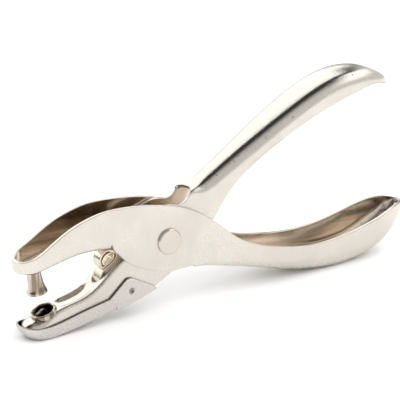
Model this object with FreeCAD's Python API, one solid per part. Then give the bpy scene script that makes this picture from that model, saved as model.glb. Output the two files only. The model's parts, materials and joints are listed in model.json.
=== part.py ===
"""Hand-held single-hole punch: two stamped levers on one rivet, punch pin, die, leaf spring and chip catcher.

Millimetres, +Z up, +X towards the handles, Y along the pivot.  Shapes are drawn with the pivot at (0, 0)
and moved at export, so that the origin is the centre of the bounding box on the surface it stands on.
"""
import FreeCAD, Part
import math
import os

# Where the pivot axis is in the exported frame
PIVOT_X = -22.25
PIVOT_Z = 22.0

# Outer lever: upper jaw and lower handle, one channel with its web at the bottom
OUTER_HALF = 5.5          # half width over the side plates at the jaw and pivot
OUTER_T = 1.15            # sheet thickness
OUTER_BOW_X = -44.5       # centre of the rounded nose
OUTER_TIP_X = 94.5        # end of the lower handle
JAW_FLOOR_END = -20.3     # the jaw's floor stops here, at the throat
HANDLE_WEB_START = 9.5    # the handle's web starts here, behind the pivot

# Inner lever: lower jaw and upper handle, one channel with its web on top
INNER_HALF = 4.2
INNER_T = 1.1
JAW_WEB_DROP = 1.19       # the sheet measured straight down through the sloping webs
HANDLE_WEB_DROP = 1.27
INNER_BOW_X = -43.8
INNER_TIP_X = 86.4
JAW_WEB_END = -13.0
HANDLE_CHANNEL_START = 9.5
WINDOW_HALF = 2.1         # opening in the jaw's web, for the spring
WINDOW_FRONT = -23.6

# Pivot
SHANK_R = 2.5
HEAD_R = 4.0
HEAD_H = 0.9
HEAD_CHAMFER = 0.3
TAIL_R = 3.4
TAIL_H = 0.8
WASHER_R = 4.0
WASHER_T = 0.5
BUSH_R = 3.4
FIT = 0.05                # running clearance on a radius

# Punch and die: a quarter inch hole, closed by a ten degree squeeze
CLOSE_DEG = 10.0
PUNCH_TILT = 10.0         # lean of the punch's axis from vertical
DIE_TILT = PUNCH_TILT + CLOSE_DEG
PUNCH_END = (-42.6, -8.2)  # centre of the cutting face
PUNCH_R = 3.1
PUNCH_NECK_R = 2.15
PUNCH_LENGTH = 8.2
PUNCH_NECK = 2.4          # straight length of the neck
PUNCH_LAND = 0.8
PUNCH_SHOULDER = 7.9      # where the neck meets the slope of the jaw's floor
TENON_R = 1.6
DIE_BORE_R = 3.175
DIE_RING_R = 4.05
DIE_RING_H = 0.9
DIE_CHAMFER = 0.25
DIE_SPIGOT_R = 3.75
PUNCH_ENTRY = 1.3         # how far the punch is inside the die when closed

# Chip catcher and its hinge pin
CATCHER_HALF = 5.0
CATCHER_T = 0.6
CATCHER_BOW_X = -44.3
HINGE = (-13.0, -13.2)
PIN_R = 0.9
PIN_BORE_R = 0.4
PIN_PROUD = 0.15

# Return spring, a strip bent to a hairpin
SPRING_W = 3.8
SPRING_T = 0.45
SPRING_STEPS = 3          # points of its two faces for each point of its centre line

REACH = 60.0              # long enough to pass right through the object
TINY = 1e-6


def vec(x, y, z):
    return FreeCAD.Vector(x, y, z)


def curve(points, start=None, end=None):
    """Smooth edge through the points, with optional end directions."""
    spline = Part.BSplineCurve()
    if start is None:
        spline.interpolate(points)
    else:
        spline.interpolate(Points=points, InitialTangent=start, FinalTangent=end)
    return spline.toShape()


def side_curve(points):
    return curve([vec(x, 0, z) for x, z in points])


def side_arc(points):
    return Part.Arc(*[vec(x, 0, z) for x, z in points]).toShape()


def side_lines(points):
    """Straight edges through points given as (x, z)."""
    corners = [vec(x, 0, z) for x, z in points]
    return [Part.makeLine(a, b) for a, b in zip(corners, corners[1:])]


def side_prism(edges, half):
    """Solid from a closed side outline, from -half to +half across."""
    face = Part.Face(Part.Wire(Part.__sortEdges__(edges)))
    face.translate(vec(0, -half, 0))
    return face.extrude(vec(0, 2 * half, 0))


def boat_plan(half, bow_x, flare, tip_x, inset):
    """Solid from the outline seen from above: round bow, straight plates, flared handle, round end."""
    h = half - inset
    flare_points = [vec(x, y - inset, 0) for x, y in flare]
    far = [
        Part.makeLine(vec(bow_x, h, 0), flare_points[0]),
        curve(flare_points + [vec(tip_x - inset, 0, 0)], vec(1, 0, 0), vec(0, -1, 0)),
    ]
    near = [edge.mirror(vec(0, 0, 0), vec(0, 1, 0)) for edge in far]
    bow = Part.Arc(vec(bow_x, -h, 0), vec(bow_x - h, 0, 0), vec(bow_x, h, 0)).toShape()
    face = Part.Face(Part.Wire(Part.__sortEdges__([bow] + far + near)))
    face.translate(vec(0, 0, -REACH))
    return face.extrude(vec(0, 0, 2 * REACH))


def cross_cylinder(x, z, radius, y0, y1):
    """Cylinder along Y."""
    return Part.makeCylinder(radius, y1 - y0, vec(x, y0, z), vec(0, 1, 0))


def shifted(points, dz):
    return [(x, z + dz) for x, z in points]


def tilted(shape, foot, tilt):
    """Turn a shape drawn along +Z so that it leans back by tilt, and stand it at foot."""
    shape.rotate(vec(0, 0, 0), vec(0, 1, 0), -tilt)
    shape.translate(vec(foot[0], 0, foot[1]))
    return shape


# Side outlines of the outer lever, from the nose to the handle's end
OUTER_RIM = [(-50.0, 3.0), (-44.0, 5.2), (-40.0, 7.5), (-34.0, 10.7), (-28.0, 12.7), (-22.5, 13.7),
             (-16.0, 13.7), (-10.5, 13.2), (3.0, 10.4), (15.0, 4.2), (26.0, -4.6), (38.0, -9.3),
             (60.0, -11.9), (82.0, -8.0), (90.0, -6.6), (94.5, -7.0)]
JAW_FLOOR = [(-50.0, -1.2), (-42.0, 0.1), (-31.0, 2.1), (JAW_FLOOR_END, 1.6)]
THROAT_CUT = (-15.0, -3.4)
CHEEK = [(-8.0, -7.3), (2.0, -9.8)]
CHEEK_END = (9.5, -10.4)
HANDLE_BOTTOM = [CHEEK_END, (20.0, -12.6), (31.0, -15.4), (54.0, -21.1), (65.0, -22.0), (75.0, -21.0),
                 (86.0, -16.8), (92.5, -11.4), (94.5, -8.6)]
OUTER_FLARE = [(8.0, 5.5), (25.0, 6.5), (45.0, 8.0), (60.0, 8.2), (77.0, 7.9), (89.0, 5.8)]

# Side outlines of the inner lever
INNER_WEB = [(-36.9, -13.73), (-30.2, -12.4), (-24.0, -9.6), (-19.5, -6.0), (JAW_WEB_END, -1.4)]
INNER_CREST = [(JAW_WEB_END, -1.4), (-10.6, 5.2), (-5.5, 9.6), (0.0, 11.2), (5.0, 10.9),
               (HANDLE_CHANNEL_START, 13.6)]
HANDLE_TOP = [(HANDLE_CHANNEL_START, 13.6), (12.5, 14.7), (17.0, 17.2), (31.0, 25.7), (50.0, 36.2),
              (63.0, 41.0), (70.0, 41.8), (76.0, 41.2), (81.0, 39.2), (84.5, 36.6), (INNER_TIP_X, 34.4)]
HANDLE_RIM = [(INNER_TIP_X, 33.4), (80.0, 36.1), (70.0, 35.1), (55.0, 30.6), (36.0, 21.6), (26.0, 14.6),
              (21.0, 9.2), (17.0, 3.4), (10.0, -5.0), (2.3, -10.5), (-4.1, -13.7)]
JAW_RIM = [(-4.1, -13.7), (-10.0, -15.2), (-17.0, -16.6), (-30.0, -18.7), (-40.0, -20.1), (-45.5, -20.0),
           (-48.0, -18.8)]
NOSE_TOP = (-48.0, -18.5)
NOSE_SHOULDER = (-46.9, -17.3)
INNER_FLARE = [(6.0, 4.2), (22.0, 5.1), (40.0, 6.6), (55.0, 7.3), (69.0, 7.3), (79.0, 5.9)]

# Side outlines of the catcher
CATCHER_RIM = [(-49.3, -17.3), (-42.0, -18.0), (-32.4, -16.4), (-20.7, -14.2)]
CATCHER_EAR = [(-15.3, -9.6), (-14.0, -8.9), (-12.3, -9.3)]
CATCHER_REAR = [(-5.0, -13.2), (-4.3, -14.3)]
CATCHER_BOTTOM = [(-4.3, -14.3), (-10.0, -16.3), (-18.5, -18.3), (-36.0, -21.4), (-42.5, -22.0),
                  (-47.0, -20.9), (-49.3, -18.6)]

# The catcher seen from above has straight sides as far as its ears reach
CATCHER_SIDES = [(-20.0, 5.0), (-10.0, 5.0), (0.0, 5.0)]
CATCHER_PLAN_END = 15.0

# Centre line of the spring, from its foot on the lower jaw, round the bend, to its rolled end
SPRING_LINE = [(-25.6, -9.6), (-23.0, -8.3), (-21.9, -6.3), (-19.6, -4.4), (-16.9, -1.9), (-17.6, -0.2),
               (-20.2, 0.9), (-22.6, -0.5), (-23.2, -2.9), (-22.1, -4.4)]


def die_centre():
    """Centre of the die's top face at rest: on the punch's axis once the lever is closed."""
    lean = math.radians(PUNCH_TILT)
    x = PUNCH_END[0] - PUNCH_ENTRY * math.sin(lean)
    z = PUNCH_END[1] + PUNCH_ENTRY * math.cos(lean)
    turn = math.radians(CLOSE_DEG)
    return (x * math.cos(turn) - z * math.sin(turn), x * math.sin(turn) + z * math.cos(turn))


def die_seat(along):
    """Point of the lower jaw's top surface at the die, a distance along the slope from the die's axis."""
    lean = math.radians(DIE_TILT)
    cx, cz = die_centre()
    x = cx + DIE_RING_H * math.sin(lean) + along * math.cos(lean)
    z = cz - DIE_RING_H * math.cos(lean) + along * math.sin(lean)
    return (x, z)


def outer_lever():
    """Upper jaw and lower handle: two side plates, and a web under the jaw and under the handle."""
    nose = side_lines([OUTER_RIM[0], JAW_FLOOR[0]])
    cheek = [side_arc([THROAT_CUT] + CHEEK)]
    outline = [side_curve(OUTER_RIM)] + nose + [side_curve(JAW_FLOOR)]
    outline += side_lines([JAW_FLOOR[-1], THROAT_CUT]) + cheek + side_lines([CHEEK[1], CHEEK_END])
    outline += [side_curve(HANDLE_BOTTOM)] + side_lines([HANDLE_BOTTOM[-1], OUTER_RIM[-1]])
    body = side_prism(outline, REACH)
    body = body.common(boat_plan(OUTER_HALF, OUTER_BOW_X, OUTER_FLARE, OUTER_TIP_X, 0))
    trough = boat_plan(OUTER_HALF, OUTER_BOW_X, OUTER_FLARE, OUTER_TIP_X, OUTER_T)
    jaw_floor = shifted(JAW_FLOOR, OUTER_T)
    handle_floor = shifted(HANDLE_BOTTOM, OUTER_T)
    nose_x = OUTER_RIM[0][0]
    space = side_lines([(nose_x, REACH), jaw_floor[0]]) + [side_curve(jaw_floor)]
    space += side_lines([jaw_floor[-1], (JAW_FLOOR_END, -REACH), (HANDLE_WEB_START, -REACH), handle_floor[0]])
    space += [side_curve(handle_floor)]
    space += side_lines([handle_floor[-1], (OUTER_TIP_X, REACH), (nose_x, REACH)])
    body = body.cut(side_prism(space, REACH).common(trough))
    body = body.cut(cross_cylinder(0, 0, SHANK_R, -REACH, REACH))
    return body.cut(punch_axis_cylinder(TENON_R, REACH))


def punch_axis_cylinder(radius, length):
    return tilted(Part.makeCylinder(radius, length), PUNCH_END, PUNCH_TILT)


def inner_lever():
    """Lower jaw and upper handle: two side plates, and a web over the jaw and over the handle."""
    front = die_seat(-DIE_RING_R)
    web = [side_curve([NOSE_TOP, NOSE_SHOULDER, front])]
    web += side_lines([front, INNER_WEB[0]]) + [side_curve(INNER_WEB)]
    outline = web + [side_curve(INNER_CREST), side_curve(HANDLE_TOP)]
    outline += side_lines([HANDLE_TOP[-1], HANDLE_RIM[0]])
    outline += [side_curve(HANDLE_RIM), side_curve(JAW_RIM)] + side_lines([JAW_RIM[-1], NOSE_TOP])
    body = side_prism(outline, REACH)
    body = body.common(boat_plan(INNER_HALF, INNER_BOW_X, INNER_FLARE, INNER_TIP_X, 0))
    under = shifted([NOSE_SHOULDER, front] + INNER_WEB, -JAW_WEB_DROP)
    handle_under = shifted(HANDLE_TOP, -HANDLE_WEB_DROP)
    nose_x = NOSE_TOP[0]
    space = side_lines([(nose_x, -REACH), (nose_x, under[0][1]), under[0], under[1], under[2]])
    space += [side_curve(under[2:])]
    space += side_lines([under[-1], (JAW_WEB_END, REACH), (HANDLE_CHANNEL_START, REACH), handle_under[0]])
    space += [side_curve(handle_under)]
    space += side_lines([handle_under[-1], (INNER_TIP_X, -REACH), (nose_x, -REACH)])
    trough = boat_plan(INNER_HALF, INNER_BOW_X, INNER_FLARE, INNER_TIP_X, INNER_T)
    body = body.cut(side_prism(space, REACH).common(trough))
    window = Part.makeBox(JAW_WEB_END - WINDOW_FRONT - WINDOW_HALF, 2 * WINDOW_HALF, REACH,
                          vec(WINDOW_FRONT + WINDOW_HALF, -WINDOW_HALF, -REACH / 2))
    round_end = Part.makeCylinder(WINDOW_HALF, REACH, vec(WINDOW_FRONT + WINDOW_HALF, 0, -REACH / 2))
    body = body.cut(window).cut(round_end)
    body = body.cut(cross_cylinder(0, 0, BUSH_R + FIT, -REACH, REACH))
    body = body.cut(cross_cylinder(HINGE[0], HINGE[1], PIN_R, -REACH, REACH))
    depth = 2 * INNER_T
    bore = Part.makeCylinder(DIE_SPIGOT_R, depth + INNER_T, vec(0, 0, -depth))
    return body.cut(tilted(bore, die_seat(0), DIE_TILT))


def punch_pin():
    """Turned punch: tenon through the jaw's floor, straight neck, flare to the cutting edge."""
    flare_start = PUNCH_LENGTH - PUNCH_NECK
    profile = [vec(0, 0, 0), vec(PUNCH_R, 0, 0), vec(PUNCH_R, 0, PUNCH_LAND),
               vec(PUNCH_NECK_R, 0, flare_start), vec(PUNCH_NECK_R, 0, PUNCH_SHOULDER)]
    outline = Part.makePolygon(profile + [vec(0, 0, PUNCH_SHOULDER), profile[0]])
    body = Part.Face(outline).revolve(vec(0, 0, 0), vec(0, 0, 1), 360)
    tenon = Part.makeCylinder(TENON_R, PUNCH_LENGTH + OUTER_T)
    pin = tilted(body.fuse(tenon), PUNCH_END, PUNCH_TILT)
    return pin.cut(jaw_floor_sheet().cut(punch_axis_cylinder(TENON_R, REACH)))


def jaw_floor_sheet():
    """The sheet of the upper jaw's floor, which the punch's shoulder is seated against."""
    top = shifted(JAW_FLOOR, OUTER_T)
    edges = [side_curve(JAW_FLOOR), side_curve(top)]
    edges += side_lines([JAW_FLOOR[0], top[0]]) + side_lines([JAW_FLOOR[-1], top[-1]])
    return side_prism(edges, OUTER_HALF)


def die_bushing():
    """Hardened die: a ring on the lower jaw, with a spigot in its web."""
    ring = Part.makeCylinder(DIE_RING_R, DIE_RING_H)
    ring = ring.makeChamfer(DIE_CHAMFER, [e for e in ring.Edges if abs(e.BoundBox.ZMin - DIE_RING_H) < TINY])
    spigot = Part.makeCylinder(DIE_SPIGOT_R, INNER_T, vec(0, 0, -INNER_T))
    bore = Part.makeCylinder(DIE_BORE_R, REACH, vec(0, 0, -REACH / 2))
    return tilted(ring.fuse(spigot).cut(bore), die_seat(0), DIE_TILT)


def pivot_rivet():
    """Low chamfered head on the near side, shank, and a formed tail on the far side."""
    head = cross_cylinder(0, 0, HEAD_R, -OUTER_HALF - HEAD_H, -OUTER_HALF)
    rim = [e for e in head.Edges if abs(e.BoundBox.YMax + OUTER_HALF + HEAD_H) < TINY]
    head = head.makeChamfer(HEAD_CHAMFER, rim)
    shank = cross_cylinder(0, 0, SHANK_R, -OUTER_HALF, OUTER_HALF + WASHER_T)
    tail = cross_cylinder(0, 0, TAIL_R, OUTER_HALF + WASHER_T, OUTER_HALF + WASHER_T + TAIL_H)
    rim = [e for e in tail.Edges if abs(e.BoundBox.YMin - OUTER_HALF - WASHER_T - TAIL_H) < TINY]
    tail = tail.makeChamfer(2 * HEAD_CHAMFER, rim)
    return head.fuse([shank, tail]).removeSplitter()


def pivot_washer():
    ring = cross_cylinder(0, 0, WASHER_R, OUTER_HALF, OUTER_HALF + WASHER_T)
    return ring.cut(cross_cylinder(0, 0, SHANK_R, -REACH, REACH))


def pivot_bushing():
    """Spacer between the outer plates; the inner lever turns on it."""
    gap = OUTER_HALF - OUTER_T
    return cross_cylinder(0, 0, BUSH_R, -gap, gap).cut(cross_cylinder(0, 0, SHANK_R, -REACH, REACH))


def chip_catcher():
    """Thin channel that closes the lower jaw from below and swings down on its ears."""
    outline = [side_curve(CATCHER_RIM)] + side_lines([CATCHER_RIM[-1], CATCHER_EAR[0]])
    outline += [side_arc(CATCHER_EAR)] + side_lines([CATCHER_EAR[-1]] + CATCHER_REAR)
    outline += [side_curve(CATCHER_BOTTOM)]
    outline += side_lines([CATCHER_BOTTOM[-1], CATCHER_RIM[0]])
    body = side_prism(outline, REACH)
    body = body.common(boat_plan(CATCHER_HALF, CATCHER_BOW_X, CATCHER_SIDES, CATCHER_PLAN_END, 0))
    floor = shifted(CATCHER_BOTTOM[2:], CATCHER_T)
    nose_x = CATCHER_BOTTOM[-1][0]
    space = side_lines([(nose_x, REACH), floor[-1]]) + [side_curve(floor)]
    space += side_lines([floor[0], (floor[0][0], -REACH), (REACH, -REACH), (REACH, REACH), (nose_x, REACH)])
    trough = boat_plan(CATCHER_HALF, CATCHER_BOW_X, CATCHER_SIDES, CATCHER_PLAN_END, CATCHER_T)
    body = body.cut(side_prism(space, REACH).common(trough))
    return body.cut(cross_cylinder(HINGE[0], HINGE[1], PIN_R + FIT, -REACH, REACH))


def catcher_pin():
    """Tubular pin through the lower jaw's plates and the catcher's ears."""
    end = CATCHER_HALF + PIN_PROUD
    pin = cross_cylinder(HINGE[0], HINGE[1], PIN_R, -end, end)
    return pin.cut(cross_cylinder(HINGE[0], HINGE[1], PIN_BORE_R, -REACH, REACH))


def return_spring():
    """Flat strip: foot on the lower jaw, bend near the pivot, rolled end under the upper jaw's floor."""
    line = Part.BSplineCurve()
    line.interpolate([vec(x, 0, z) for x, z in SPRING_LINE])
    steps = SPRING_STEPS * len(SPRING_LINE)
    span = line.LastParameter - line.FirstParameter
    sides = {-1: [], 1: []}
    for i in range(steps + 1):
        u = line.FirstParameter + span * i / steps
        point = line.value(u)
        normal = line.tangent(u)[0].cross(vec(0, 1, 0))
        for side in sides:
            sides[side].append(point + normal * (side * SPRING_T / 2))
    low, high = sides[-1], sides[1]
    edges = [curve(low), Part.makeLine(low[-1], high[-1]), curve(high), Part.makeLine(high[0], low[0])]
    return side_prism(edges, SPRING_W / 2)


def export(name, shape):
    """Move a finished piece from the pivot's frame to the standing frame, and write it."""
    solid = shape.Solids[0].copy() if len(shape.Solids) == 1 else shape.copy()
    solid.translate(vec(PIVOT_X, 0, PIVOT_Z))
    solid.exportStep("parts/" + name + ".step")
    box = solid.BoundBox
    print(name, len(shape.Solids), round(solid.Volume, 1), solid.isValid(),
          [round(v, 2) for v in (box.XMin, box.XMax, box.YMin, box.YMax, box.ZMin, box.ZMax)])


os.makedirs("parts", exist_ok=True)
export("outer_lever", outer_lever())
export("inner_lever", inner_lever())
export("punch_pin", punch_pin())
export("die_bushing", die_bushing())
export("pivot_rivet", pivot_rivet())
export("pivot_washer", pivot_washer())
export("pivot_bushing", pivot_bushing())
export("chip_catcher", chip_catcher())
export("catcher_pin", catcher_pin())
export("return_spring", return_spring())
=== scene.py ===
"""Looks of the hand-held hole punch: nickel-plated stamped levers, punch, die, spring and chip catcher.

Shapes are drawn in millimetres from the pivot's centre, in the directions of the row frame, and moved to
where the frame says the pivot is.  A sheet-metal piece is a grid of rows that run from the free edge of
its wall, round the fold and over its web to the centre line.
"""
import json
import math

import bmesh
import bpy
import numpy as np
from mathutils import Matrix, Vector


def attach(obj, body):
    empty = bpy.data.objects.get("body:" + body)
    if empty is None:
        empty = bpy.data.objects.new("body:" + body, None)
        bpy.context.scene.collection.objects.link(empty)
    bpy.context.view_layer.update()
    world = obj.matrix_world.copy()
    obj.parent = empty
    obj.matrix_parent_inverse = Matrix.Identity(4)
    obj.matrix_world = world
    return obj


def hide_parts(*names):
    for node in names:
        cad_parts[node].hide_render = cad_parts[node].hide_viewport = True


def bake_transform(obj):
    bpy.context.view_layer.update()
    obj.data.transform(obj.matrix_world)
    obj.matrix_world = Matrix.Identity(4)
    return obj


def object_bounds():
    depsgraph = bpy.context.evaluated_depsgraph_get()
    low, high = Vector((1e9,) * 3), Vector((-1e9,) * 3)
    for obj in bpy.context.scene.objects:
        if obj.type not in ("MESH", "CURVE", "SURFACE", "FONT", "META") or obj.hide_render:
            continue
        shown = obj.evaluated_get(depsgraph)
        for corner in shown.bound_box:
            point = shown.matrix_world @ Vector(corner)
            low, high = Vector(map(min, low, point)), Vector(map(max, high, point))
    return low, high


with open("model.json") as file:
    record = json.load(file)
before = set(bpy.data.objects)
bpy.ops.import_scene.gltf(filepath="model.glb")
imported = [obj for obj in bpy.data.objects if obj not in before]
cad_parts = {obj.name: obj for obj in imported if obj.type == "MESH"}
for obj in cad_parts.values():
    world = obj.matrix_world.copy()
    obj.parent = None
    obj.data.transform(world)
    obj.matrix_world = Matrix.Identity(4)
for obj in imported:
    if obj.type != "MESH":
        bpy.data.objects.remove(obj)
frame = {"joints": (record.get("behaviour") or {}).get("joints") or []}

CAD_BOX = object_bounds()

MM = 0.001
JOINTS = {joint["name"]: joint for joint in frame["joints"]}
PIVOT = Vector(JOINTS["squeeze"]["pos_m"])
HINGE = (Vector(JOINTS["catcher_swing"]["pos_m"]) - PIVOT) / MM
OUTER, INNER, CATCHER = "outer_arm", "inner_arm", "catcher"

# Sheet thickness, and half widths over the plates
OUTER_T, INNER_T, CATCHER_T = 1.15, 1.1, 0.6
OUTER_HALF, INNER_HALF, CATCHER_HALF = 5.5, 4.2, 5.0

# Centres of the round noses, and spacing of the rows along the sheets
OUTER_BOW, INNER_BOW, CATCHER_BOW = -44.5, -43.8, -44.3
LEVER_STEP, CATCHER_STEP = 0.7, 0.6

# Punch and die
CLOSE_DEG = 10.0
PUNCH_TILT = 10.0
DIE_TILT = PUNCH_TILT + CLOSE_DEG
PUNCH_R, NECK_R = 3.1, 2.15
PUNCH_END = (-42.6, -8.2)
PUNCH_ENTRY = 1.3
DIE_RING_R, DIE_RING_H, DIE_BORE_R, DIE_SPIGOT_R = 4.05, 0.9, 3.175, 3.75

# Pivot and hinge
SHANK_R, BUSH_R, PIN_R = 2.5, 3.4, 0.9


# ---------------------------------------------------------------- curves

def smooth(points):
    """Cubic spline z(x) through the points, with no bend at its ends."""
    x, z = np.array(sorted(points), float).T
    h = np.diff(x)
    slope = np.diff(z) / h
    a = np.eye(len(x))
    b = np.zeros(len(x))
    for i in range(1, len(x) - 1):
        a[i, i - 1:i + 2] = h[i - 1], 2 * (h[i - 1] + h[i]), h[i]
        b[i] = 3 * (slope[i] - slope[i - 1])
    c = np.linalg.solve(a, b)

    def value(t):
        k = int(np.clip(np.searchsorted(x, t) - 1, 0, len(h) - 1))
        u = min(max(t, x[0]), x[-1]) - x[k]
        first = slope[k] - h[k] * (2 * c[k] + c[k + 1]) / 3
        cube = (c[k + 1] - c[k]) / (3 * h[k])
        return float(z[k] + u * (first + u * (c[k] + u * cube)))
    return value


def straight(points):
    """Straight-line z(x) through the points."""
    x, z = np.array(sorted(points), float).T
    return lambda t: float(np.interp(t, x, z))


def arc_under(a, b, c):
    """Lower half of the circle through three points, as z(x)."""
    (ax, az), (bx, bz), (cx, cz) = a, b, c
    m = np.array([[bx - ax, bz - az], [cx - ax, cz - az]])
    v = np.array([bx * bx - ax * ax + bz * bz - az * az, cx * cx - ax * ax + cz * cz - az * az]) / 2
    ox, oz = np.linalg.solve(m, v)
    square = (ax - ox) ** 2 + (az - oz) ** 2
    return lambda t: float(oz - math.sqrt(max(square - (t - ox) ** 2, 0)))


def step(t, start, end):
    """Smooth rise from 0 at start to 1 at end."""
    u = min(max((t - start) / (end - start), 0.0), 1.0)
    return u * u * (3 - 2 * u)


# ---------------------------------------------------------------- mesh helpers

def finished(name, bm):
    """Object from a bmesh drawn in millimetres from the pivot."""
    bmesh.ops.scale(bm, vec=(MM, MM, MM), verts=bm.verts)
    bmesh.ops.translate(bm, vec=PIVOT, verts=bm.verts)
    mesh = bpy.data.meshes.new(name)
    bm.to_mesh(mesh)
    bm.free()
    mesh.shade_smooth()
    obj = bpy.data.objects.new(name, mesh)
    bpy.context.scene.collection.objects.link(obj)
    return obj


def apply_modifiers(obj):
    bpy.context.view_layer.update()
    graph = bpy.context.evaluated_depsgraph_get()
    done = bpy.data.meshes.new_from_object(obj.evaluated_get(graph))
    obj.modifiers.clear()
    obj.data = done
    return obj


BOW_STEPS, TIP_STEPS = 18, 44


def stations(bow_x, half_at, step_x, end_x, stops=(), tip=None):
    """Stations of a plan's far half, nose to tip: (foot on the centre line, outline x, outline y).

    The bow is a half circle.  With a tip, the plan ends in half an ellipse that starts at end_x.
    """
    h0 = half_at(bow_x)
    out = []
    for i in range(BOW_STEPS):
        turn = math.pi / 2 * i / BOW_STEPS
        out.append((bow_x, bow_x - h0 * math.cos(turn), h0 * math.sin(turn)))
    count = int((end_x - bow_x) / step_x)
    xs = [bow_x + (end_x - bow_x) * i / count for i in range(count + 1)]
    xs = [x for x in xs if all(abs(x - s) > 0.3 * step_x for s in stops)]
    out += [(x, x, half_at(x)) for x in sorted(xs + list(stops))]
    if tip:
        a, b = tip - end_x, half_at(end_x)
        for i in range(1, TIP_STEPS + 1):
            turn = math.pi / 2 * i / TIP_STEPS
            out.append((end_x + a * math.sin(turn) * (1 - (b / a) ** 2),
                        end_x + a * math.sin(turn), b * math.cos(turn)))
    return out


WALL_ROWS, FOLD_ROWS, WEB_ROWS = 12, 10, 12


def channel(name, places, rim, bare_end, web, fold, webbed, rise, dish=None, gap=None, shear=None):
    """Open sheet of a channel, one column of points for each place along its plan.

    rim, web and bare_end give the heights of the wall's free edge, of the web, and of the wall's other
    edge where there is no web.  rise is +1 where the web is below the rim and -1 where it is above.  dish
    lowers or raises the web, gap is the half width of an opening in it, and shear moves the web's points
    along the channel.  Near a short wall or a narrow end, the fold's radius shrinks with it.
    """
    bm = bmesh.new()
    polish = bm.verts.layers.float.new("polish")
    grid = []
    for foot, ox, oy in places:
        length = math.hypot(ox - foot, oy)
        radius = 0.0
        if webbed(foot):
            radius = min(fold(ox), 0.9 * length, 0.85 * abs(rim(ox) - web(ox)))
        bottom = web(ox) + rise * radius if webbed(foot) else bare_end(ox)
        if dish and webbed(foot):
            bottom += dish(ox, oy)
        column = []
        for i in range(WALL_ROWS):
            share = i / WALL_ROWS
            column.append((ox, oy, rim(ox) + (bottom - rim(ox)) * share, 0.0))
        if not webbed(foot):
            column.append((ox, oy, bottom, 0.0))
            grid.append(column)
            continue
        open_half = gap(foot) if gap else 0.0
        for i in range(FOLD_ROWS + WEB_ROWS + 1):
            if i <= FOLD_ROWS:
                turn = math.pi / 2 * i / FOLD_ROWS
                inset, lift = radius * (1 - math.cos(turn)), radius * (1 - math.sin(turn))
            else:
                share = (i - FOLD_ROWS) / WEB_ROWS
                inset, lift = radius + (length - open_half - radius) * share, 0.0
            share = 1 - inset / length if length > 0 else 0.0
            x, y = foot + (ox - foot) * share, oy * share
            if shear:
                x = shear(x, y)
            z = web(x) + rise * lift
            if dish:
                z += dish(x, y)
            column.append((x, y, z, step(i, 0, FOLD_ROWS)))
        grid.append(column)
    walls = []
    for side in (1, -1):
        verts = []
        for column in grid:
            verts.append([])
            for x, y, z, shine in column:
                vert = bm.verts.new((x, side * y, z))
                vert[polish] = shine
                verts[-1].append(vert)
        for a, b in zip(verts, verts[1:]):
            for i in range(min(len(a), len(b)) - 1):
                corners = [a[i], b[i], b[i + 1], a[i + 1]]
                face = bm.faces.new(corners if side > 0 else corners[::-1])
                if i < WALL_ROWS - 1:
                    walls.append(face)
    bm.normal_update()
    outward = sum(face.normal.y * face.calc_center_median().y for face in walls)
    if outward < 0:
        bmesh.ops.reverse_faces(bm, faces=bm.faces)
    bmesh.ops.remove_doubles(bm, verts=bm.verts, dist=0.004)
    bmesh.ops.dissolve_degenerate(bm, dist=0.002, edges=bm.edges)
    return finished(name, bm)


def thicken(obj, thickness, edge):
    """Give a sheet its thickness on its inner side and round its cut edges."""
    solid = obj.modifiers.new("sheet", "SOLIDIFY")
    solid.thickness = thickness * MM
    solid.offset = -1
    solid.use_even_offset = True
    solid.use_quality_normals = True
    solid.thickness_clamp = 0.0
    solid.shell_vertex_group = obj.vertex_groups.new(name="shell").name
    bevel = obj.modifiers.new("edge", "BEVEL")
    bevel.width = edge * MM
    bevel.segments = 3
    bevel.limit_method = "ANGLE"
    bevel.angle_limit = math.radians(50)
    bevel.use_clamp_overlap = False
    apply_modifiers(obj)
    inside = obj.data.attributes.new("inside", "FLOAT", "POINT")
    for vert, value in zip(obj.data.vertices, inside.data):
        value.value = sum(group.weight for group in vert.groups)
    return obj


def level_tip(obj, start, rim, tip):
    """Past start, bring the points that the rounding threw below the free edge back to it."""
    sheet, slack = 1.0, 0.05
    for vert in obj.data.vertices:
        x, z = (vert.co.x - PIVOT.x) / MM, (vert.co.z - PIVOT.z) / MM
        lowest = rim(min(x + sheet, tip)) - slack
        if x > start and z < lowest:
            vert.co.z = PIVOT.z + lowest * MM


BORE_REACH = 1.5


def bore(sheet, centre, axis, radius, depth=20.0):
    """Round hole through a sheet before it is thickened; centre in millimetres from the pivot.

    It reaches depth millimetres to either side of its centre.  The points inside it go, and those next to
    them, up to BORE_REACH away, are drawn in to its edge.
    """
    bm = bmesh.new()
    bm.from_mesh(sheet.data)
    foot, way = PIVOT + Vector(centre) * MM, Vector(axis).normalized()

    def away(vert):
        out = vert.co - foot
        return out - way * out.dot(way)

    near = [v for v in bm.verts if abs((v.co - foot).dot(way)) < depth * MM]
    inside = [v for v in near if away(v).length < radius * MM]
    around = {n for v in inside for face in v.link_faces for n in face.verts} - set(inside)
    for vert in [v for v in around if away(v).length < (radius + BORE_REACH) * MM]:
        out = away(vert)
        vert.co += out.normalized() * radius * MM - out
    bmesh.ops.delete(bm, geom=inside, context="VERTS")
    bm.to_mesh(sheet.data)
    bm.free()


def soften(obj):
    """Keep flat faces flat in the shading beside their rounded edges."""
    obj.modifiers.new("shading", "WEIGHTED_NORMAL").weight = 60
    return apply_modifiers(obj)


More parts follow.
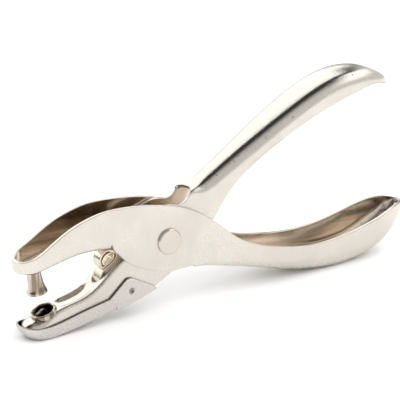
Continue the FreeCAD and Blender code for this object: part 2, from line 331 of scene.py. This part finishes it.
def lathe(name, profile, origin, axis, steps=96):
    """Turned piece: closed or end-to-end profile of (radius, height) about an axis through origin."""
    bm = bmesh.new()
    rings = []
    for radius, height in profile:
        count = steps if radius > 1e-6 else 1
        angles = [2 * math.pi * k / steps for k in range(count)]
        rings.append([bm.verts.new((radius * math.cos(t), radius * math.sin(t), height)) for t in angles])
    for low, high in zip(rings, rings[1:]):
        for k in range(steps):
            n = (k + 1) % steps
            corners = [low[k % len(low)], low[n % len(low)], high[n % len(high)], high[k % len(high)]]
            corners = list(dict.fromkeys(corners))
            if len(corners) > 2:
                bm.faces.new(corners)
    bmesh.ops.remove_doubles(bm, verts=bm.verts, dist=1e-5)
    bmesh.ops.recalc_face_normals(bm, faces=bm.faces)
    turn = Vector((0, 0, 1)).rotation_difference(Vector(axis)).to_matrix()
    bmesh.ops.rotate(bm, verts=bm.verts, matrix=turn)
    bmesh.ops.translate(bm, verts=bm.verts, vec=origin)
    return finished(name, bm)


def rounded(corners, radius, steps=4, closed=False):
    """Profile through the corners, with each corner rounded."""
    points = [Vector(c) for c in corners]
    if closed:
        points = [points[-1]] + points + [points[0]]
    out = [] if closed else [tuple(points[0])]
    for a, b, c in zip(points, points[1:], points[2:]):
        u, w = a - b, c - b
        cut = min(radius, 0.45 * u.length, 0.45 * w.length)
        p, q = b + u.normalized() * cut, b + w.normalized() * cut
        for i in range(steps + 1):
            t = i / steps
            out.append(tuple(p * (1 - t) ** 2 + b * 2 * t * (1 - t) + q * t * t))
    out.append(out[0] if closed else tuple(points[-1]))
    return out


def placed(obj, body, node, material):
    """Put a finished piece on its body, in the stead of its CAD node."""
    obj.name = obj.data.name = node + "_formed"
    obj.data.materials.clear()
    obj.data.materials.append(material)
    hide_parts(node)
    if body:
        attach(obj, body)
    return obj


# ---------------------------------------------------------------- materials

def put(tree, kind, **inputs):
    """New node; each input is a value or another node's output."""
    node = tree.nodes.new(kind)
    for key, value in inputs.items():
        socket = node.inputs[key.replace("_", " ")]
        if isinstance(value, bpy.types.NodeSocket):
            tree.links.new(value, socket)
        else:
            socket.default_value = value
    return node


def maths(tree, operation, *values):
    node = tree.nodes.new("ShaderNodeMath")
    node.operation = operation
    for socket, value in zip(node.inputs, values):
        if isinstance(value, bpy.types.NodeSocket):
            tree.links.new(value, socket)
        else:
            socket.default_value = value
    return node.outputs[0]


def ramp(tree, value, low, high, start=0.0, end=1.0):
    """Smooth change from start to end as value goes from low to high."""
    node = put(tree, "ShaderNodeMapRange", Value=value, From_Min=low, From_Max=high,
               To_Min=start, To_Max=end)
    node.interpolation_type = "SMOOTHSTEP"
    return node.outputs["Result"]


def mixed(tree, factor, first, second):
    """Colour between two colours, each a value or a node's output."""
    node = tree.nodes.new("ShaderNodeMix")
    node.data_type = "RGBA"
    for socket, value in ((node.inputs[0], factor), (node.inputs[6], first), (node.inputs[7], second)):
        if isinstance(value, bpy.types.NodeSocket):
            tree.links.new(value, socket)
        else:
            socket.default_value = value
    return node.outputs[2]


def tint(color, scale=1.0, cast=(1.0, 1.0, 1.0)):
    """The colour made lighter or darker by scale, and turned by cast."""
    return (*[min(c * k * scale, 1.0) for c, k in zip(color, cast)], 1.0)


def noise(tree, place, scale, detail=3.0, rough=0.55, distortion=0.0):
    node = put(tree, "ShaderNodeTexNoise", Vector=place, Scale=scale, Detail=detail, Roughness=rough,
               Distortion=distortion)
    return node.outputs["Fac"]


def attribute(tree, name):
    node = tree.nodes.new("ShaderNodeAttribute")
    node.attribute_name = name
    return node.outputs["Fac"]


# the last cast colours the brown bands painted on the punch and die as a painted reflection
BROWN_CAST, STREAK_CAST, REFLECTION_BAND_CAST = (1.02, 0.98, 0.94), (0.70, 0.63, 0.56), (0.42, 0.37, 0.32)
CLOUD_SCALE, MOTTLE_SCALE, PIT_SCALE, FINE_SCALE = 55.0, 700.0, 1500.0, 2300.0


def stretched(tree, place, scale, detail, rough):
    """Noise drawn out along the directions with the smaller scales."""
    mapping = put(tree, "ShaderNodeMapping", Vector=place, Scale=scale)
    return noise(tree, mapping.outputs["Vector"], 1.0, detail, rough)


def plating(tree, place, color, clouds, inside, inside_shade, reflection_banded):
    """Colour: warm nickel with faint clouds; inner faces browner, with darker streaks, and darkened by a
    factor as painted shade.
    """
    worn = mixed(tree, ramp(tree, clouds, 0.35, 0.7), tint(color, 1.02), tint(color, 0.95))
    # inner faces: brown cast and darker streaks, darkened by the given factor as painted shade
    shade = mixed(tree, inside, worn, tint(color, inside_shade, BROWN_CAST))
    streaks = ramp(tree, stretched(tree, place, (45.0, 500.0, 420.0), 4.0, 0.6), 0.5, 0.68)
    shade = mixed(tree, maths(tree, "MULTIPLY", inside, streaks), shade, tint(color, inside_shade, STREAK_CAST))
    # brown bands along the piece: painted reflection of the studio on polished turned steel
    if reflection_banded:
        bands = ramp(tree, stretched(tree, place, (620.0, 620.0, 40.0), 2.0, 0.5), 0.42, 0.58)
        shade = mixed(tree, bands, shade, tint(color, 1.0, REFLECTION_BAND_CAST))
    return shade


def pitting(tree, place, polish):
    """Small pits along the folds, where the sheet was stretched."""
    pits = noise(tree, place, PIT_SCALE, 2.0, 0.5)
    band = maths(tree, "MULTIPLY", ramp(tree, polish, 0.05, 0.4), ramp(tree, polish, 1.0, 0.8))
    return maths(tree, "MULTIPLY", ramp(tree, pits, 0.66, 0.72), band)


def sheen(tree, polish, inside, clouds, mottle, satin, bright):
    """Roughness: satin sides, bright folds, patches and fingermarks."""
    level = put(tree, "ShaderNodeMapRange", Value=polish, To_Min=satin, To_Max=bright).outputs["Result"]
    level = maths(tree, "MULTIPLY", level, ramp(tree, clouds, 0.3, 0.75, 0.85, 1.2))
    level = maths(tree, "MULTIPLY", level, ramp(tree, mottle, 0.2, 0.8, 0.85, 1.2))
    return maths(tree, "MULTIPLY", level, ramp(tree, inside, 0.0, 1.0, 1.0, 0.55))


def relief(tree, place, polish, inside, mottle, pits, depth):
    """Bump: orange peel over the folds, fine grain everywhere, and the pits."""
    fine = noise(tree, place, FINE_SCALE, 3.0, 0.6)
    height = maths(tree, "MULTIPLY_ADD", mottle, 0.6, fine)
    height = maths(tree, "MULTIPLY", height, ramp(tree, polish, 0.0, 1.0, 0.1, 3.0))
    height = maths(tree, "MULTIPLY", height, ramp(tree, inside, 0.0, 1.0, 1.0, 0.5))
    height = maths(tree, "SUBTRACT", height, pits)
    return put(tree, "ShaderNodeBump", Strength=1.0, Distance=depth * MM, Height=height).outputs["Normal"]


def metal(name, color, satin, bright, grain, inside_shade=1.0, reflection_banded=False):
    """Plated metal: satin where it was left as rolled, brighter over its folds, duller inside.

    satin and bright are roughness values, grain the depth of the relief in millimetres and inside_shade
    the painted shade on the inner faces (1.0 for none).  reflection_banded paints brown bands along the
    piece, a painted reflection of the studio on polished turned steel.
    """
    material = bpy.data.materials.new(name)
    material.use_nodes = True
    tree = material.node_tree
    shader = tree.nodes["Principled BSDF"]
    shader.inputs["Metallic"].default_value = 1.0
    place = tree.nodes.new("ShaderNodeTexCoord").outputs["Object"]
    polish, inside = attribute(tree, "polish"), attribute(tree, "inside")
    clouds = noise(tree, place, CLOUD_SCALE, 4.0, 0.6)
    mottle = noise(tree, place, MOTTLE_SCALE, 3.0, 0.6)
    pits = pitting(tree, place, polish)

    shade = mixed(tree, pits, plating(tree, place, color, clouds, inside, inside_shade, reflection_banded), tint(color, 0.12))
    tree.links.new(shade, shader.inputs["Base Color"])
    level = sheen(tree, polish, inside, clouds, mottle, satin, bright)
    tree.links.new(level, shader.inputs["Roughness"])
    normal = relief(tree, place, polish, inside, mottle, pits, grain)
    tree.links.new(normal, shader.inputs["Normal"])
    return material


NICKEL = (0.68, 0.635, 0.575)
lever_metal = metal("lever_nickel", NICKEL, 0.30, 0.13, 0.016)
# the 0.3 paints the catcher's inner faces dark: painted shade in the chip chamber, so its hole looks dark
catcher_metal = metal("catcher_nickel", (0.62, 0.58, 0.55), 0.26, 0.14, 0.010, 0.3)
rivet_metal = metal("rivet_nickel", (0.64, 0.59, 0.53), 0.22, 0.22, 0.008)
# the punch and the die get the brown bands of painted reflection
punch_metal = metal("punch_steel", (0.60, 0.53, 0.45), 0.16, 0.16, 0.006, reflection_banded=True)
pin_metal = metal("pin_steel", (0.40, 0.36, 0.31), 0.25, 0.25, 0.006)
spring_metal = metal("spring_steel", (0.74, 0.66, 0.54), 0.22, 0.22, 0.020)


# ---------------------------------------------------------------- outer lever

OUTER_RIM = smooth([(-50.0, 3.0), (-44.0, 5.2), (-40.0, 7.5), (-34.0, 10.7), (-28.0, 12.7), (-22.5, 13.7),
                    (-16.0, 13.7), (-10.5, 13.2), (3.0, 10.4), (15.0, 4.2), (26.0, -4.6), (38.0, -9.3),
                    (60.0, -11.9), (82.0, -8.0), (90.0, -6.6), (94.5, -7.0)])
JAW_FLOOR = smooth([(-50.0, -1.2), (-42.0, 0.1), (-31.0, 2.1), (-20.3, 1.6)])
FLOOR_END, NOTCH_END = -20.3, -19.4
THROAT_CUT = (-15.0, -3.4)
CHEEK = [(-8.0, -7.3), (2.0, -9.8)]
HANDLE_WEB_START = 9.5
OUTER_TIP, OUTER_TIP_START = 94.5, 76.0
HANDLE_BOTTOM = smooth([(HANDLE_WEB_START, -10.4), (20.0, -12.6), (31.0, -15.4), (54.0, -21.1),
                        (65.0, -22.0), (75.0, -21.0), (86.0, -16.8), (92.5, -11.6), (OUTER_TIP, -9.3)])


def outer_lever():
    """Upper jaw and lower handle, with its web below."""
    cheek = arc_under(THROAT_CUT, *CHEEK)
    flare = smooth([(8.0, 5.5), (25.0, 6.5), (45.0, 8.0), (60.0, 8.22), (OUTER_TIP_START, 7.9)])
    below_pivot = straight([CHEEK[1], (HANDLE_WEB_START, HANDLE_BOTTOM(HANDLE_WEB_START) + 0.6)])
    throat = straight([(FLOOR_END, 3.1), (NOTCH_END - 0.45, 2.9), (NOTCH_END, 1.2), THROAT_CUT])

    def half(x):
        return OUTER_HALF + (flare(x) - OUTER_HALF) * step(x, 8, 20)

    def bare_end(x):
        if x < THROAT_CUT[0]:
            return throat(x)
        return cheek(x) if x < CHEEK[1][0] else below_pivot(x)

    stops = [FLOOR_END, NOTCH_END - 0.45, NOTCH_END, THROAT_CUT[0], CHEEK[1][0], HANDLE_WEB_START]
    sheet = channel(
        "outer_lever", stations(OUTER_BOW, half, LEVER_STEP, OUTER_TIP_START, stops, tip=OUTER_TIP),
        rim=OUTER_RIM, bare_end=bare_end, rise=1,
        web=lambda x: JAW_FLOOR(x) if x < 0 else HANDLE_BOTTOM(x),
        fold=lambda x: 1.5 if x < 0 else 0.7 + 1.3 * step(x, HANDLE_WEB_START, 16) + 2.7 * step(x, 14, 60),
        webbed=lambda x: x <= FLOOR_END or x >= HANDLE_WEB_START)
    bore(sheet, (0, 0, 0), (0, 1, 0), SHANK_R)
    thicken(sheet, OUTER_T, 0.2)
    return placed(soften(sheet), OUTER, "outer_lever", lever_metal)


# ---------------------------------------------------------------- inner lever

JAW_WEB = smooth([(-48.0, -17.9), (-46.6, -17.05), (-44.6, -16.4), (-40.7, -15.1), (-36.9, -13.73),
                  (-30.2, -12.4), (-24.0, -9.6), (-19.5, -6.0), (-13.0, -1.4)])
JAW_WEB_END, RELIEF_END = -13.0, -12.6
WINDOW_FRONT, WINDOW_HALF = -23.6, 2.1
CREST = smooth([(JAW_WEB_END, -1.8), (-10.6, 5.2), (-5.5, 9.4), (0.0, 10.9), (3.5, 10.5), (5.6, 10.3),
                (7.0, 10.9), (7.8, 11.7), (8.4, 12.7)])
CHANNEL_START = 8.4
CREST_STOPS = [5.6, 6.3, 7.0, 7.5, 7.95]
INNER_TIP, INNER_TIP_START = 86.4, 68.0
HANDLE_TOP = smooth([(CHANNEL_START, 13.2), (10.3, 13.95), (12.5, 14.75), (17.0, 17.2), (31.0, 25.7),
                     (50.0, 36.2), (63.0, 41.0), (70.0, 41.8), (76.0, 41.2), (81.0, 39.2), (84.5, 36.6),
                     (INNER_TIP, 34.4)])
RIM_CORNER = (-4.1, -13.7)
JAW_RIM = smooth([RIM_CORNER, (-10.0, -15.2), (-17.0, -16.6), (-30.0, -18.7), (-40.0, -20.1),
                  (-45.5, -20.0), (-48.0, -19.0)])
HANDLE_RIM = smooth([(INNER_TIP, 33.75), (84.5, 34.5), (80.0, 35.95), (70.0, 35.1), (55.0, 30.6),
                     (36.0, 21.6), (26.0, 14.6), (21.0, 9.2), (17.0, 3.4), (10.0, -5.0), (2.3, -10.5),
                     RIM_CORNER])


def inner_lever():
    """Lower jaw and upper handle, with its web on top."""
    flare = smooth([(6.0, 4.2), (22.0, 5.1), (40.0, 6.6), (55.0, 7.3), (INNER_TIP_START, 7.4)])

    def half(x):
        return INNER_HALF + (flare(x) - INNER_HALF) * step(x, 6, 16)

    def gap(x):
        if not WINDOW_FRONT < x <= JAW_WEB_END:
            return 0.0
        ahead = max(WINDOW_FRONT + WINDOW_HALF - x, 0)
        return math.sqrt(max(WINDOW_HALF ** 2 - ahead ** 2, 0))

    def dish(x, y):
        """Hollow in the jaw's web, and the crown of the handle's."""
        along = step(x, -38.6, -32.5) * (1 - step(x, -27.5, -22.5))
        crown = 1.6 * step(x, CHANNEL_START, 18) * (1 - 0.4 * step(x, 70, 86))
        hollow = 0.95 * along * (1 - step(abs(y), 0.9, 3.3))
        return -hollow - crown * (y / half(min(x, INNER_TIP_START))) ** 2

    def notched(x, y):
        """The handle's web starts further back at its middle than at its folds."""
        return x + 2.0 * (1 - (y / INNER_HALF) ** 2) * (1 - step(x, CHANNEL_START, CHANNEL_START + 12))

    def fold(x):
        if x < 0:
            return 3.3 - 2.1 * step(x, -46.0, -36.0)
        radius = 0.9 + 1.6 * step(x, CHANNEL_START, 15) + 0.4 * step(x, 14, 35)
        return radius * (1 - 0.85 * step(x, 79, 86))

    front = [WINDOW_FRONT + WINDOW_HALF * (1 - math.cos(math.pi / 2 * i / 8)) for i in range(1, 9)]
    stops = [WINDOW_FRONT] + front + [JAW_WEB_END, RELIEF_END] + CREST_STOPS + [CHANNEL_START]
    sheet = channel(
        "inner_lever", stations(INNER_BOW, half, LEVER_STEP, INNER_TIP_START, stops, tip=INNER_TIP),
        rim=lambda x: JAW_RIM(x) if x < RIM_CORNER[0] else HANDLE_RIM(x),
        bare_end=CREST,
        web=lambda x: JAW_WEB(x) if x < 0 else HANDLE_TOP(x),
        fold=fold, rise=-1, gap=gap, dish=dish,
        shear=lambda x, y: x if x < 0 else notched(x, y),
        webbed=lambda x: x <= JAW_WEB_END or x >= CHANNEL_START)
    bore(sheet, die_seat(), leaning(DIE_TILT), DIE_BORE_R + 0.14, 1.0)
    bore(sheet, (0, 0, 0), (0, 1, 0), BUSH_R + 0.2)
    thicken(sheet, INNER_T, 0.2)
    level_tip(sheet, 83.0, HANDLE_RIM, INNER_TIP)
    return placed(soften(sheet), INNER, "inner_lever", lever_metal)


# ---------------------------------------------------------------- chip catcher

CATCHER_END, CATCHER_WEB_END = -4.2, -18.5
CATCHER_RIM = smooth([(-49.3, -17.3), (-42.0, -18.0), (-32.4, -16.4), (-20.7, -14.2)])
CATCHER_EAR = [(-20.7, -14.2), (-15.3, -9.6), (-14.8, -9.2), (-14.0, -8.95), (-13.1, -9.0), (-12.3, -9.3),
               (-5.0, -13.2), (CATCHER_END, -14.2)]
CATCHER_BOTTOM = smooth([(CATCHER_END, -14.4), (-10.0, -16.3), (CATCHER_WEB_END, -18.3), (-36.0, -21.4),
                         (-42.5, -22.0), (-47.0, -20.9), (-49.3, -18.6)])


def chip_catcher():
    """Thin channel under the lower jaw, with a rounded nose and two ears at its hinge."""
    ear = straight(CATCHER_EAR)
    sheet = channel(
        "chip_catcher",
        stations(CATCHER_BOW, lambda x: CATCHER_HALF, CATCHER_STEP, CATCHER_END,
                 [x for x, z in CATCHER_EAR[:-1]] + [CATCHER_WEB_END]),
        rim=lambda x: CATCHER_RIM(x) if x < CATCHER_EAR[0][0] else ear(x),
        bare_end=CATCHER_BOTTOM, web=CATCHER_BOTTOM, rise=1,
        fold=lambda x: 1.3 + 1.6 * (1 - step(x, -47, -40)),
        webbed=lambda x: x <= CATCHER_WEB_END)
    bore(sheet, HINGE, (0, 1, 0), PIN_R + 0.05)
    thicken(sheet, CATCHER_T, 0.12)
    return placed(soften(sheet), CATCHER, "chip_catcher", catcher_metal)


# ---------------------------------------------------------------- turned pieces

def die_seat():
    """Where the die's ring stands on the lower jaw: on the punch's axis once the lever is closed."""
    lean, turn = math.radians(PUNCH_TILT), math.radians(CLOSE_DEG)
    x = PUNCH_END[0] - PUNCH_ENTRY * math.sin(lean)
    z = PUNCH_END[1] + PUNCH_ENTRY * math.cos(lean)
    cx, cz = x * math.cos(turn) - z * math.sin(turn), x * math.sin(turn) + z * math.cos(turn)
    tilt = math.radians(DIE_TILT)
    return (cx + DIE_RING_H * math.sin(tilt), 0, cz - DIE_RING_H * math.cos(tilt))


def leaning(tilt_deg):
    return (-math.sin(math.radians(tilt_deg)), 0, math.cos(math.radians(tilt_deg)))


def punch_pin():
    """Hollow-ground cutting face, short land, flare, neck, and a tenon peened over in the jaw."""
    land, flare_end, shoulder, tenon = 0.6, 6.0, 8.6, 9.6
    face = [(0.0, 0.55), (1.6, 0.4), (2.7, 0.12), (2.98, 0.0), (3.08, 0.05), (PUNCH_R, 0.14)]
    profile = face + [(PUNCH_R, land)]
    for i in range(1, 17):
        rise = (flare_end - land) * i / 16
        profile.append((NECK_R + (PUNCH_R - NECK_R) * math.exp(-rise / 1.6), land + rise))
    profile += [(NECK_R, shoulder), (1.6, shoulder), (1.62, tenon - 0.15), (1.5, tenon)]
    profile += [(0.0, tenon + 0.1)]
    pin = lathe("punch_pin", profile, (PUNCH_END[0], 0, PUNCH_END[1]), leaning(PUNCH_TILT))
    return placed(soften(pin), OUTER, "punch_pin", punch_metal)


def die_bushing():
    """Hardened ring with a rounded rim; its spigot is in the jaw's web."""
    bore, rim = DIE_BORE_R, DIE_RING_R
    profile = rounded([(bore, -INNER_T), (bore, DIE_RING_H), (rim - 0.25, DIE_RING_H), (rim + 0.1, -0.35),
                       (DIE_SPIGOT_R, -0.4), (DIE_SPIGOT_R, -INNER_T)], 0.3, closed=True)
    die = lathe("die_bushing", profile, die_seat(), leaning(DIE_TILT))
    return placed(soften(die), INNER, "die_bushing", punch_metal)


def pivot_rivet():
    """Flat chamfered head on the near side, shank, and a domed tail on the far side."""
    head, tail, seat = OUTER_HALF + 0.9, OUTER_HALF + 0.5, OUTER_HALF - 0.02
    profile = [(0.0, head)]
    profile += rounded([(3.0, head), (3.62, head), (4.0, head - 0.34), (4.0, seat), (SHANK_R, seat)], 0.08)
    profile += [(SHANK_R, -tail)]
    profile += rounded([(3.4, -tail), (3.4, -tail - 0.25), (2.6, -tail - 0.72), (1.2, -tail - 0.8)], 0.2)
    profile += [(0.0, -tail - 0.8)]
    rivet = lathe("pivot_rivet", profile, (0, 0, 0), (0, -1, 0))
    return placed(soften(rivet), OUTER, "pivot_rivet", rivet_metal)


def ring_along_y(name, inner, outer, y0, y1, edge):
    profile = rounded([(inner, y0), (outer, y0), (outer, y1), (inner, y1)], edge, closed=True)
    return lathe(name, profile, (0, 0, 0), (0, 1, 0))


def pivot_rings():
    washer = ring_along_y("pivot_washer", SHANK_R, 4.0, OUTER_HALF, OUTER_HALF + 0.5, 0.12)
    placed(soften(washer), OUTER, "pivot_washer", rivet_metal)
    gap = OUTER_HALF - OUTER_T
    bush = ring_along_y("pivot_bushing", SHANK_R, BUSH_R, -gap, gap, 0.2)
    placed(soften(bush), OUTER, "pivot_bushing", rivet_metal)


def catcher_pin():
    """Tubular pin with rounded ends."""
    end = CATCHER_HALF + 0.15
    profile = rounded([(0.45, -end), (PIN_R, -end), (PIN_R, end), (0.45, end)], 0.14, closed=True)
    pin = lathe("catcher_pin", profile, tuple(HINGE), (0, 1, 0), steps=48)
    return placed(soften(pin), INNER, "catcher_pin", pin_metal)


# ---------------------------------------------------------------- spring

SPRING_LINE = [(-24.3, -11.3), (-22.7, -10.0), (-22.0, -7.8), (-20.9, -6.0), (-18.7, -4.6), (-16.7, -3.1),
               (-16.2, -1.5), (-17.5, -0.1), (-19.6, 0.1), (-21.4, -1.1), (-22.1, -3.2), (-21.3, -4.9),
               (-19.4, -4.1), (-17.6, -2.8), (-17.4, -1.5), (-18.6, -0.9), (-20.3, -1.4), (-21.2, -2.9),
               (-20.6, -4.0), (-19.2, -3.3), (-18.5, -2.4)]
SPRING_W, SPRING_T = 3.8, 0.45


def through(points, count):
    """Points along a smooth curve through the given ones (Catmull-Rom, chord lengths)."""
    p = [Vector(q) for q in points]
    p = [2 * p[0] - p[1]] + p + [2 * p[-1] - p[-2]]
    t = [0.0]
    for a, b in zip(p, p[1:]):
        t.append(t[-1] + (b - a).length ** 0.5)
    out = []
    for k in range(1, len(p) - 2):
        for i in range(count):
            s = t[k] + (t[k + 1] - t[k]) * i / count
            a1 = p[k - 1].lerp(p[k], (s - t[k - 1]) / (t[k] - t[k - 1]))
            a2 = p[k].lerp(p[k + 1], (s - t[k]) / (t[k + 1] - t[k]))
            a3 = p[k + 1].lerp(p[k + 2], (s - t[k + 1]) / (t[k + 2] - t[k + 1]))
            b1 = a1.lerp(a2, (s - t[k - 1]) / (t[k + 1] - t[k - 1]))
            b2 = a2.lerp(a3, (s - t[k]) / (t[k + 2] - t[k]))
            out.append(b1.lerp(b2, (s - t[k]) / (t[k + 1] - t[k])))
    return out + [p[-2]]


def return_spring():
    """Flat strip bent to a hairpin: foot on the lower jaw, rolled end under the upper jaw."""
    line = through(SPRING_LINE, 8)
    across = 10
    bm = bmesh.new()
    rows = []
    for p in line:
        row = []
        for k in range(across + 1):
            y = SPRING_W * (k / across - 0.5)
            row.append(bm.verts.new((p.x, y, p.y)))
        rows.append(row)
    for a, b in zip(rows, rows[1:]):
        for k in range(across):
            bm.faces.new((a[k], a[k + 1], b[k + 1], b[k]))
    strip = finished("return_spring", bm)
    solid = strip.modifiers.new("strip", "SOLIDIFY")
    solid.thickness = SPRING_T * MM
    solid.offset = 0
    solid.use_even_offset = True
    bevel = strip.modifiers.new("edge", "BEVEL")
    bevel.width = 0.1 * MM
    bevel.segments = 2
    bevel.limit_method = "ANGLE"
    bevel.angle_limit = math.radians(50)
    apply_modifiers(strip)
    soften(strip)
    placed(strip, None, "return_spring", spring_metal)
    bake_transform(strip)
    return strip


# ---------------------------------------------------------------- camera, light and stage

VIEW_AZIMUTH, VIEW_ELEVATION = -35.0, 19.5
VIEW_DISTANCE = 0.6
FOCAL_MM = 181.1
AIM = PIVOT + Vector((9.5, -8.01, 11.89)) * MM


def direction(azimuth, elevation):
    """Unit vector from the object towards a point at this azimuth and elevation."""
    a, e = math.radians(azimuth), math.radians(elevation)
    return Vector((math.sin(a) * math.cos(e), -math.cos(a) * math.cos(e), math.sin(e)))


def camera():
    lens = bpy.data.cameras.new("camera")
    lens.lens = FOCAL_MM
    lens.sensor_width = 36.0
    lens.clip_start = 0.01
    eye = bpy.data.objects.new("camera", lens)
    bpy.context.scene.collection.objects.link(eye)
    back = direction(VIEW_AZIMUTH, VIEW_ELEVATION)
    eye.location = AIM + back * VIEW_DISTANCE
    eye.rotation_euler = (-back).to_track_quat("-Z", "Y").to_euler()
    bpy.context.scene.camera = eye


def soft_box(name, azimuth, elevation, distance, size, radiance, reflected=True):
    """Rectangular light that faces the object; without reflected, it lights only what isn't glossy."""
    lamp = bpy.data.lights.new(name, "AREA")
    lamp.shape = "RECTANGLE"
    lamp.size, lamp.size_y = size
    lamp.energy = radiance * math.pi * size[0] * size[1]
    obj = bpy.data.objects.new(name, lamp)
    way = direction(azimuth, elevation)
    obj.location = way * distance
    obj.rotation_euler = way.to_track_quat("Z", "Y").to_euler()
    obj.visible_glossy = reflected
    bpy.context.scene.collection.objects.link(obj)


def stage():
    bpy.ops.mesh.primitive_plane_add(size=6, location=(0, 0, CAD_BOX[0][2]))
    floor = bpy.context.object
    floor.name = "floor"
    material = bpy.data.materials.new("floor")
    material.use_nodes = True
    shader = material.node_tree.nodes["Principled BSDF"]
    shader.inputs["Base Color"].default_value = (0.93, 0.93, 0.93, 1)
    shader.inputs["Roughness"].default_value = 0.9
    floor.data.materials.append(material)


def sky():
    """Studio surroundings: bright behind and at the right, softer in front, dark high up."""
    world = bpy.data.worlds.new("studio")
    bpy.context.scene.world = world
    world.use_nodes = True
    tree = world.node_tree
    way = tree.nodes.new("ShaderNodeTexCoord").outputs["Generated"]
    x, y, z = put(tree, "ShaderNodeSeparateXYZ", Vector=way).outputs
    behind = maths(tree, "MULTIPLY", ramp(tree, y, 0.36, 0.5), ramp(tree, z, 0.10, 0.19))
    limit = ramp(tree, z, 0.4, 0.5, 0.62, 0.50)
    behind = maths(tree, "MULTIPLY", behind, ramp(tree, maths(tree, "SUBTRACT", x, limit), 0.04, -0.04))
    edge = ramp(tree, y, 0.0, 0.4, 0.0, 0.27)
    right = ramp(tree, maths(tree, "SUBTRACT", x, edge), 0.30, 0.50)
    right = maths(tree, "MULTIPLY", right, ramp(tree, z, 0.3, 0.6, 0.8, 1.7))
    lit = maths(tree, "MAXIMUM", maths(tree, "MULTIPLY", behind, 1.6), right)
    lit = maths(tree, "MAXIMUM", lit, ramp(tree, y, -0.1, -0.75, 0.0, 0.75))
    strength = maths(tree, "MAXIMUM", lit, 0.05)
    tree.links.new(strength, tree.nodes["Background"].inputs["Strength"])
    tree.nodes["Background"].inputs["Color"].default_value = (1, 1, 1, 1)


outer_lever()
inner_lever()
chip_catcher()
punch_pin()
die_bushing()
pivot_rivet()
pivot_rings()
catcher_pin()
return_spring()
camera()
sky()
soft_box("fill_box", -20, 66, 1.8, (3.4, 3.4), 1.45, reflected=False)
stage()
bpy.context.scene.cycles.glossy_bounces = 16
bpy.context.scene.cycles.max_bounces = 16
bpy.context.scene.view_settings.view_transform = "Standard"
